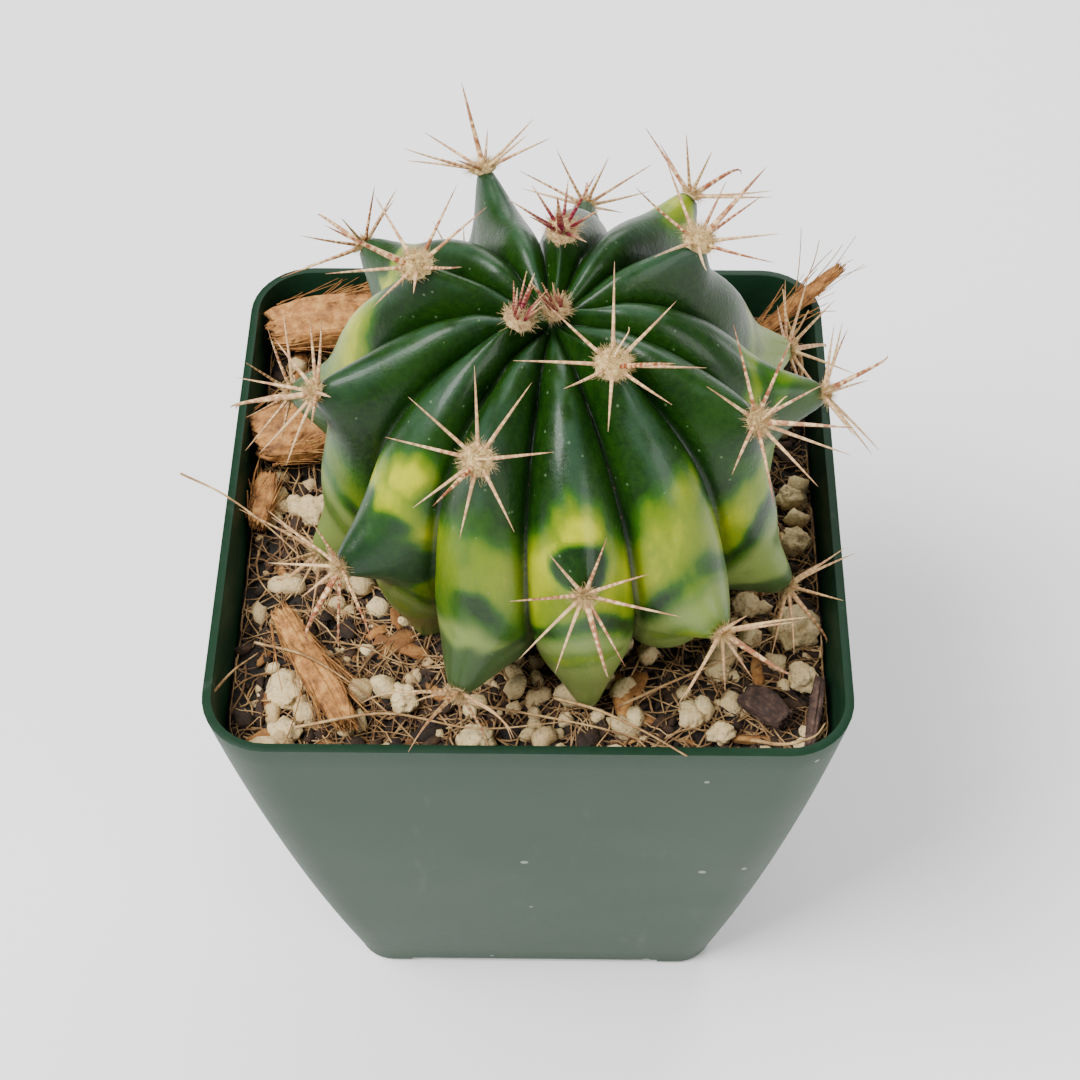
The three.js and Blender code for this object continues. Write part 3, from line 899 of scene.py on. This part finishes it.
def makeAreole(order):
    rng = random.Random(order + 40)
    tip, side, up, out = areoleFrame(order)
    young = order < 3
    width = (3.3 + 1.1 * smoothStep(order, 0, 3) - 2.5 * smoothStep(order, 4, 12)) * mm
    thick = width * (0.62 if order < 7 else 0.5)
    axes = Matrix((side, up, out)).transposed()
    deselect()
    bpy.ops.mesh.primitive_ico_sphere_add(subdivisions=4, radius=1)
    cushion = newest("woolCushion")
    ball = points(cushion.data)
    lumps = np.array([noise.noise(Vector(p) * 2.6 + Vector((order, 0, 0))) * 0.2
                      + noise.noise(Vector(p) * 9) * 0.12 for p in ball])
    ball = ball * (1 + lumps)[:, None] * np.array([width / 2, width / 2, thick / 2]) * 0.68
    centre = np.array(tip + out * thick * 0.2)
    setPoints(cushion.data, ball @ np.array(axes).T + centre)
    addAttribute(cushion.data, "shade", np.full(len(ball), 0.16 if young else 0.0))
    addAttribute(cushion.data, "along", np.zeros(len(ball)))
    cushion.data.polygons.foreach_set("use_smooth", np.ones(len(cushion.data.polygons), bool))
    # curly hairs stand out of the cushion
    paths, widths = [], []
    for _ in range(areole["hairs"]):
        angle = rng.uniform(0, tau)
        slope = math.acos(rng.uniform(0.05, 1))
        local = Vector((math.sin(slope) * math.cos(angle), math.sin(slope) * math.sin(angle), math.cos(slope)))
        root = Vector(centre) + axes @ Vector((local.x * width / 2, local.y * width / 2,
                                               local.z * thick / 2)) * 0.62
        way = (axes @ local + Vector([rng.gauss(0, 0.45) for _ in range(3)])).normalized()
        curl = Vector([rng.gauss(0, 1) for _ in range(3)]).normalized()
        length = areole["hairLength"] * mm * rng.uniform(0.4, 1.1)
        paths.append(spinePath(root, way, curl, length, rng.uniform(0.2, 0.8), 0, 5))
        widths.append(np.linspace(1, 0.35, 5) * areole["hairWidth"] * mm)
    shades = [min(1, max(0, rng.gauss(0.25 if young else 0.05, 0.1))) for _ in paths]
    hairs = sweep("woolHairs", paths, widths, 3, shade=shades)
    hairs.data.materials.append(wool)
    cushion.data.materials.append(wool)
    tuft = join(f"areoleWool{order:02d}", cushion, hairs)
    place(tuft, "areole_wool_and_spines", f"areole_{order:02d}")
    # spines
    turn, centralLean, centralTurn, centralSize, stoutness = areole["centrals"].get(
        order, (rng.uniform(-15, 15), rng.uniform(*areole["centralLean"]), rng.uniform(-115, -65),
                areole["centralLength"], 1.5))
    ringLean, share = areole["tufts"].get(order, (areole["radialLean"], 1))
    listed = [(turn + (k + 0.5) * 360 / areole["radials"] + rng.gauss(0, 7), ringLean + rng.gauss(0, 5),
               areole["radialLength"] * share * rng.uniform(0.78, 1.08), 0.95)
              for k in range(areole["radials"])]
    listed.append((centralTurn, centralLean, centralSize, stoutness))
    paths, widths, reds = [], [], []
    for degrees, lean, size, thickness in listed:
        angle, tilt, length = math.radians(degrees), math.radians(lean), size * mm
        flat = side * math.cos(angle) + up * math.sin(angle)
        way = out * math.cos(tilt) + flat * math.sin(tilt)
        foot = Vector(centre) + flat * width * 0.1
        stout = thickness > 1.2
        hook = 0.16 if order == 19 else -0.2 if stout and order > 8 else 0
        path = spinePath(foot, way, out, length, rng.uniform(-0.08, 0.1), hook)
        low = soilTop + 0.5 * mm
        under = path[:, 2] < low
        path[under, 2] = low + (path[under, 2] - low) * 0.12
        paths.append(path)
        t = np.linspace(0, 1, len(path))
        widths.append(areole["baseWidth"] * mm * thickness * (1 - t) ** 0.72 + 0.012 * mm)
        reds.append(min(1, max(0, rng.gauss(0.9 if stout else 0.65, 0.2))))
    if order in (3, 6, 4, 8):
        # a small weak spine that curls over the cushion
        flat = side * 0.6 + up * 0.4
        path = spinePath(Vector(centre) + out * thick * 0.3, out * 0.8 + flat * 0.6, side, 3.4 * mm, 0.5, -0.3)
        paths.append(path)
        widths.append(np.linspace(0.16, 0.03, len(path)) * mm)
        reds.append(0.1)
    age = order / (areoleCount - 1)
    spines = sweep(f"spines{order:02d}", paths, widths, 8, age=[age] * len(paths), red=reds)
    spines.data.materials.append(spineHorn)
    place(spines, "areole_wool_and_spines", f"areole_{order:02d}")


mix = {
    "sink": 1.0 * mm,
    "lumps": 1.3 * mm,
    "cuts": 110,
    "margin": 0.25 * mm,
    "crumbs": 2600,
    "smallGrains": 420,
    "fibers": 1500,
    "flakes": 90,
}


def innerHalfAt(z):
    return potHalfAt(z) - potShape["wall"] - mix["margin"]


def insideCorner(x, y, half, corner):
    # pulls a point into a square with round corners
    across, along = abs(x) - (half - corner), abs(y) - (half - corner)
    if across > 0 and along > 0 and math.hypot(across, along) > corner:
        shrink = corner / math.hypot(across, along)
        x = math.copysign(half - corner + across * shrink, x)
        y = math.copysign(half - corner + along * shrink, y)
    return x, y


def mixHeight(x, y):
    # uneven surface, heaped a little against the stem
    spot = Vector((x, y, 0)) / mm
    lumps = noise.noise(spot * 0.12) * 0.9 + noise.noise(spot * 0.45) * 0.5 + noise.noise(spot * 1.3) * 0.25
    return soilTop - mix["sink"] + lumps * mix["lumps"]


def makeMix():
    deselect()
    half = innerHalfAt(soilTop)
    bpy.ops.mesh.primitive_grid_add(x_subdivisions=mix["cuts"], y_subdivisions=mix["cuts"], size=2 * half,
                                    location=(0, 0, 0))
    body = newest("pottingMix")
    flat = points(body.data)
    for i, (x, y, _) in enumerate(flat):
        x, y = insideCorner(x, y, half, 5.2 * mm)
        flat[i] = x, y, mixHeight(x, y)
    setPoints(body.data, flat)
    bpy.ops.object.mode_set(mode="EDIT")
    last = half
    for i in range(1, 7):
        z = soilTop + (2 * mm - soilTop) * i / 6
        pickEdges(body, lambda edge: edge.is_boundary)
        bpy.ops.mesh.extrude_edges_move()
        ratio = innerHalfAt(z) / last
        bpy.ops.transform.resize(value=(ratio, ratio, 1), center_override=(0, 0, 0))
        bpy.ops.transform.resize(value=(1, 1, 0), center_override=(0, 0, z))
        last = innerHalfAt(z)
    pickEdges(body, lambda edge: edge.is_boundary)
    bpy.ops.mesh.edge_face_add()
    bpy.ops.mesh.select_all(action="SELECT")
    bpy.ops.mesh.normals_make_consistent(inside=False)
    bpy.ops.object.mode_set(mode="OBJECT")
    addAttribute(body.data, "shade", np.zeros(len(body.data.vertices)))
    bpy.ops.object.shade_smooth()
    # near-black base: painted shade of the gaps, over the peat's own dark brown
    body.data.materials.append(soilBaseAndGapShade)
    place(body, "potting_mix", "potting_mix")
    print("mix made")


def makeLump(name, detail, seed, rough):
    # an irregular stone of width 1: a ball with flats and hollows
    deselect()
    bpy.ops.mesh.primitive_ico_sphere_add(subdivisions=detail, radius=0.5)
    lump = newest(name)
    ball = points(lump.data)
    rng = random.Random(seed)
    flats = [Vector([rng.gauss(0, 1) for _ in range(3)]).normalized() for _ in range(7)]
    for i, p in enumerate(ball):
        spot = Vector(p)
        for face in flats:
            over = spot.dot(face) - 0.36
            if over > 0:
                spot -= face * over * 0.75
        shift = Vector((seed, 2 * seed, 0))
        spot *= 1 + rough * (noise.noise(spot * 4 + shift) + 0.5 * noise.noise(spot * 11 + shift))
        ball[i] = spot
    setPoints(lump.data, ball)
    return lump


def randomTurn(rng):
    turn = Quaternion([rng.gauss(0, 1) for _ in range(4)])
    return turn.normalized().to_matrix().to_4x4()


def freeSpot(rng, edge=0.6 * mm):
    # a random place on the mix inside the pot and outside the buried stem
    half = innerHalfAt(soilTop) - edge
    while True:
        x, y = rng.uniform(-half, half), rng.uniform(-half, half)
        if math.hypot(x - stem["foot"][0], y - stem["foot"][1] + 0.5 * mm) > 15 * mm:
            return insideCorner(x, y, half, 5.2 * mm)


def makeCrumbs():
    rng = random.Random(7)
    sources = [makeLump(f"crumbSource{k}", 1, 20 + k, 0.5) for k in range(5)]
    spots = []
    for _ in range(mix["crumbs"]):
        x, y = freeSpot(rng)
        size = mm * rng.uniform(0.5, 1.1) * (1 + 1.4 * rng.random() ** 4)
        stretch = Matrix.Diagonal((size * rng.uniform(0.8, 2.2), size, size * rng.uniform(0.3, 0.8), 1))
        z = mixHeight(x, y) + size * 0.2
        tilt = Matrix.Rotation(rng.uniform(0, tau), 4, "Z") @ Matrix.Rotation(rng.gauss(0, 0.4), 4, "X")
        spots.append((rng.randrange(5), Matrix.Translation((x, y, z)) @ tilt @ stretch, rng.random()))
    crumbs = copyJoined("mixCrumbs", sources, spots)
    crumbs.data.materials.append(crumb)
    place(crumbs, "potting_mix")
    removeObjects(*sources)
    sources = [makeLump(f"grainSource{k}", 2, 50 + k, 0.35) for k in range(6)]
    spots = []
    for _ in range(mix["smallGrains"]):
        x, y = freeSpot(rng, 1.2 * mm)
        size = mm * (0.7 + 2.5 * rng.random() ** 2)
        stretch = Matrix.Diagonal((size * rng.uniform(0.9, 1.3), size, size * rng.uniform(0.7, 1), 1))
        z = mixHeight(x, y) + size * rng.uniform(0.05, 0.35)
        spots.append((rng.randrange(6), Matrix.Translation((x, y, z)) @ randomTurn(rng) @ stretch,
                      rng.random() ** 2))
    grains = copyJoined("smallGrit", sources, spots)
    grains.data.materials.append(pumice)
    place(grains, "pumice")
    removeObjects(*sources)
    sources = [makeLump(f"flakeSource{k}", 2, 70 + k, 0.5) for k in range(4)]
    spots = []
    for _ in range(mix["flakes"]):
        x, y = freeSpot(rng, 2 * mm)
        size = mm * (0.9 + 1.5 * rng.random() ** 2)
        stretch = Matrix.Diagonal((size * rng.uniform(1.3, 2.6), size, size * rng.uniform(0.3, 0.6), 1))
        tilt = Matrix.Rotation(rng.uniform(0, tau), 4, "Z") @ Matrix.Rotation(rng.gauss(0, 0.35), 4, "X")
        z = mixHeight(x, y) + size * 0.3
        spots.append((rng.randrange(4), Matrix.Translation((x, y, z)) @ tilt @ stretch, rng.random()))
    flakes = copyJoined("huskFlakes", sources, spots)
    flakes.data.materials.append(husk)
    place(flakes, "coir_husk")
    removeObjects(*sources)
    print("crumbs, grit and flakes made")


def makeGrains():
    # the big named grains, each in its CAD node's box
    names = sorted(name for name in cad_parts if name.startswith("pumice_grain"))
    for number, name in enumerate(names):
        low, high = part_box(name)
        grainBody = makeLump("big" + name.title().replace("_", ""), 4, 90 + number, 0.3)
        size = high - low
        grown = points(grainBody.data) * np.array([size.x, size.y, size.z]) * 1.12
        setPoints(grainBody.data, grown + np.array((low + high) / 2))
        addAttribute(grainBody.data, "shade", np.full(len(grown), (number % 4) * 0.12))
        grainBody.data.polygons.foreach_set("use_smooth", np.ones(len(grainBody.data.polygons), bool))
        grainBody.data.materials.append(pumice)
        place(grainBody, "pumice", name)
    print("big grains made")


def wander(rng, start, heading, length, wobble, steps=10):
    # a strand that lies over the mix and drifts as it goes
    spot, path = np.array(start, float), []
    drift = rng.gauss(0, wobble)
    hump = rng.uniform(0, 0.8) * mm
    for i in range(steps):
        t = i / (steps - 1)
        z = mixHeight(spot[0], spot[1]) + hump * math.sin(math.pi * t) + 0.35 * mm
        path.append((spot[0], spot[1], max(z, soilTop - 1.2 * mm)))
        heading += drift / steps + rng.gauss(0, wobble * 0.25)
        spot = spot + np.array([math.cos(heading), math.sin(heading)]) * length / steps
        half = innerHalfAt(soilTop) - 0.3 * mm
        spot[0], spot[1] = np.clip(spot[0], -half, half), np.clip(spot[1], -half, half)
        spot[0], spot[1] = insideCorner(spot[0], spot[1], half, 5.2 * mm)
    return np.array(path)


def makeFibers():
    rng = random.Random(21)
    paths, widths, shades = [], [], []
    for _ in range(mix["fibers"]):
        x, y = freeSpot(rng)
        length = mm * (4 + 15 * rng.random() ** 1.8)
        path = wander(rng, (x, y), rng.uniform(0, tau), length, 0.9)
        paths.append(path)
        width = mm * rng.uniform(0.05, 0.15)
        widths.append(width * np.linspace(1, 0.5, len(path)))
        shades.append(rng.random())
    fibers = sweep("coirFibers", paths, widths, 4, shade=shades)
    fibers.data.materials.append(coir)
    place(fibers, "coir_husk")
    print("fibres made")


# long strands that stand out, as points in millimetres from the middle of the rim's plane
strands = [
    {"points": [(-36.5, -0.5, 3.2), (-31.5, -3, 2.6), (-26, -6.6, 0.6), (-20.5, -11, -2.6)], "width": 0.13},
    {"points": [(-23, -27.4, -3), (-14, -26.2, -2.2), (-5, -27.6, -2.6), (4.4, -26.4, -3)], "width": 0.17},
    {"points": [(2.6, -23.6, -3.2), (7, -26, -1.6), (11.4, -29.6, 0.4), (15.4, -32.6, 0.9)], "width": 0.2},
    {"points": [(-6, -24.2, -3.4), (1, -26.4, -2), (8, -28.4, -1.4), (14.6, -30.6, -1.6)], "width": 0.16},
    {"points": [(22, -28.4, -3), (25, -29.6, -1.8), (28, -28.8, -1.6), (29.4, -26.4, -3)], "width": 0.22},
    {"points": [(-31, -24.5, -1), (-29.6, -21, -2.6), (-27.6, -18, -4)], "width": 0.16},
    {"points": [(9, -24.4, -3.4), (15, -22, -2), (20.4, -19.6, -1.6), (26, -15.8, -2.4)], "width": 0.17},
    {"points": [(-28, -17, -3.6), (-22, -19.6, -2.4), (-15.6, -24, -3), (-11, -28.6, -3.4)], "width": 0.16},
    {"points": [(28.6, 14, -3.4), (29.6, 18.6, -1), (28, 23, 1.4), (27.6, 27, 2.2)], "width": 0.2},
    {"points": [(24, 20, -3), (28.4, 22, -0.6), (30.4, 24.4, 1.6)], "width": 0.2},
]


def curveThrough(corners, steps=8):
    # a smooth path through the given points
    line = np.array(corners, float)
    padded = np.vstack([2 * line[0] - line[1], line, 2 * line[-1] - line[-2]])
    path = []
    for i in range(len(line) - 1):
        a, b, c, d = padded[i:i + 4]
        for k in range(steps):
            t = k / steps
            path.append(b + 0.5 * t * (c - a + t * (2 * a - 5 * b + 4 * c - d + t * (3 * (b - c) + d - a))))
    path.append(line[-1])
    return np.array(path) * mm + np.array((0, 0, rimHeight))


def makeStrands():
    paths = [curveThrough(strand["points"]) for strand in strands]
    widths = [np.linspace(1, 0.4, len(p)) * s["width"] * mm for p, s in zip(paths, strands)]
    long = sweep("longStrands", paths, widths, 6, shade=[0.1 * (k % 4) for k in range(len(paths))])
    long.data.materials.append(coir)
    place(long, "coir_husk")


# husk, bark and stick: two ends of the middle line, from the middle of the rim's plane, and the size
chips = {
    "husk_chip_back_left": {"ends": [(-29, 24.4, -2.6), (-16, 27.4, -2.2)], "width": 6.6, "thick": 3.6},
    "husk_chip_left": {"ends": [(-29.6, 8.6, -2.8), (-22.4, 11.6, -2.6)], "width": 7.4, "thick": 3},
    "husk_chip_left_small": {"ends": [(-29.2, -1.4, -4.4), (-28.6, 4.4, -4)], "width": 2.6, "thick": 2.2},
    "husk_strip_front_left": {"ends": [(-25.4, -13.6, -3.8), (-18.4, -25.8, -4)], "width": 3.2, "thick": 1.8},
    "husk_strand_back_right": {"ends": [(22.6, 22.6, -4), (33.4, 28.6, 3.2)], "width": 1.6, "thick": 1.2},
    "bark_piece": {"ends": [(21.8, -22.2, -4.4), (25.4, -25.2, -4.2)], "width": 3, "thick": 1.6},
    "twig": {"ends": [(29.2, -21, -4), (27.8, -28.4, -3.6)], "width": 1.3, "thick": 1.3},
}


def makeChip(name, seed):
    chip = chips[name]
    start = Vector(chip["ends"][0]) * mm + Vector((0, 0, rimHeight))
    finish = Vector(chip["ends"][1]) * mm + Vector((0, 0, rimHeight))
    length = (finish - start).length
    width, thick = chip["width"] * mm, chip["thick"] * mm
    rng = random.Random(seed)
    deselect()
    bpy.ops.mesh.primitive_cube_add(size=1)
    body = newest(name.title().replace("_", ""))
    bpy.ops.object.mode_set(mode="EDIT")
    bpy.ops.mesh.select_all(action="SELECT")
    bpy.ops.mesh.subdivide(number_cuts=23)
    bpy.ops.object.mode_set(mode="OBJECT")
    block = points(body.data)
    # the block is rounded, then torn along the fibre
    for i, p in enumerate(block):
        u, v, w = p
        belly = 1 - 0.35 * abs(2 * u) ** 3
        streak = noise.noise(Vector((u * 0.8, v * 7, w * 7 + seed)))
        fine = noise.noise(Vector((u * 2.5, v * 22, w * 22 + seed)))
        tear = noise.noise(Vector((seed, v * 9, w * 9))) * 0.16 * (1 if abs(u) > 0.4 else 0)
        rounding = 1 - 0.18 * (abs(2 * v) ** 4 * abs(2 * w) ** 4)
        block[i] = ((u + math.copysign(tear, u)) * length,
                    v * width * belly * rounding * (1 + 0.12 * streak) + streak * width * 0.05,
                    w * thick * belly * rounding * (1 + 0.3 * streak) + fine * thick * 0.08
                    + math.sin(u * 5 + seed) * thick * 0.14)
    along = (finish - start).normalized()
    across = Vector((0, 0, 1)).cross(along).normalized()
    over = along.cross(across)
    axes = np.array(Matrix((along, across, over)))
    centre = np.array((start + finish) / 2)
    setPoints(body.data, block @ axes + centre)
    addAttribute(body.data, "shade", np.full(len(block), 0.1 * (seed % 3)))
    body.data.polygons.foreach_set("use_smooth", np.ones(len(body.data.polygons), bool))
    # loose fibres along its edges and ends
    paths, widths, shades = [], [], []
    loose = 0 if name in ("twig", "bark_piece") else int(20 + 16 * width / mm)
    for _ in range(loose):
        u = rng.uniform(-0.5, 0.3)
        v = rng.choice((-1, 1)) * rng.uniform(0.3, 0.52)
        root = start.lerp(finish, u + 0.5) + across * v * width + over * thick * rng.uniform(-0.2, 0.5)
        way = (along * rng.uniform(0.5, 1) + across * rng.gauss(0, 0.18) + over * rng.gauss(0.05, 0.12))
        bend = across * rng.gauss(0, 1) + over * rng.uniform(-0.4, 0.4)
        paths.append(spinePath(root, way.normalized(), bend, length * rng.uniform(0.3, 0.62),
                               rng.uniform(0, 0.18), 0, 7))
        widths.append(np.linspace(1, 0.5, 7) * mm * rng.uniform(0.05, 0.1))
        shades.append(rng.random() * 0.6)
    body.data.materials.append(barkSkin if name in ("twig", "bark_piece") else husk)
    if loose:
        addAttribute(body.data, "along", np.zeros(len(block)))
        fringe = sweep("fringe", paths, widths, 4, shade=shades)
        fringe.data.materials.append(husk)
        body = join(body.name, body, fringe)
    place(body, "bark" if name in ("twig", "bark_piece") else "coir_husk", name)


makeCamera()
makeLights()
makeFloor()
makePot()
makeStem()
for areoleNumber in range(areoleCount):
    makeAreole(areoleNumber)
print("areoles made")
makeMix()
makeCrumbs()
makeGrains()
makeFibers()
makeStrands()
for chipNumber, chipName in enumerate(chips):
    makeChip(chipName, chipNumber + 3)
print("husk and bark made")
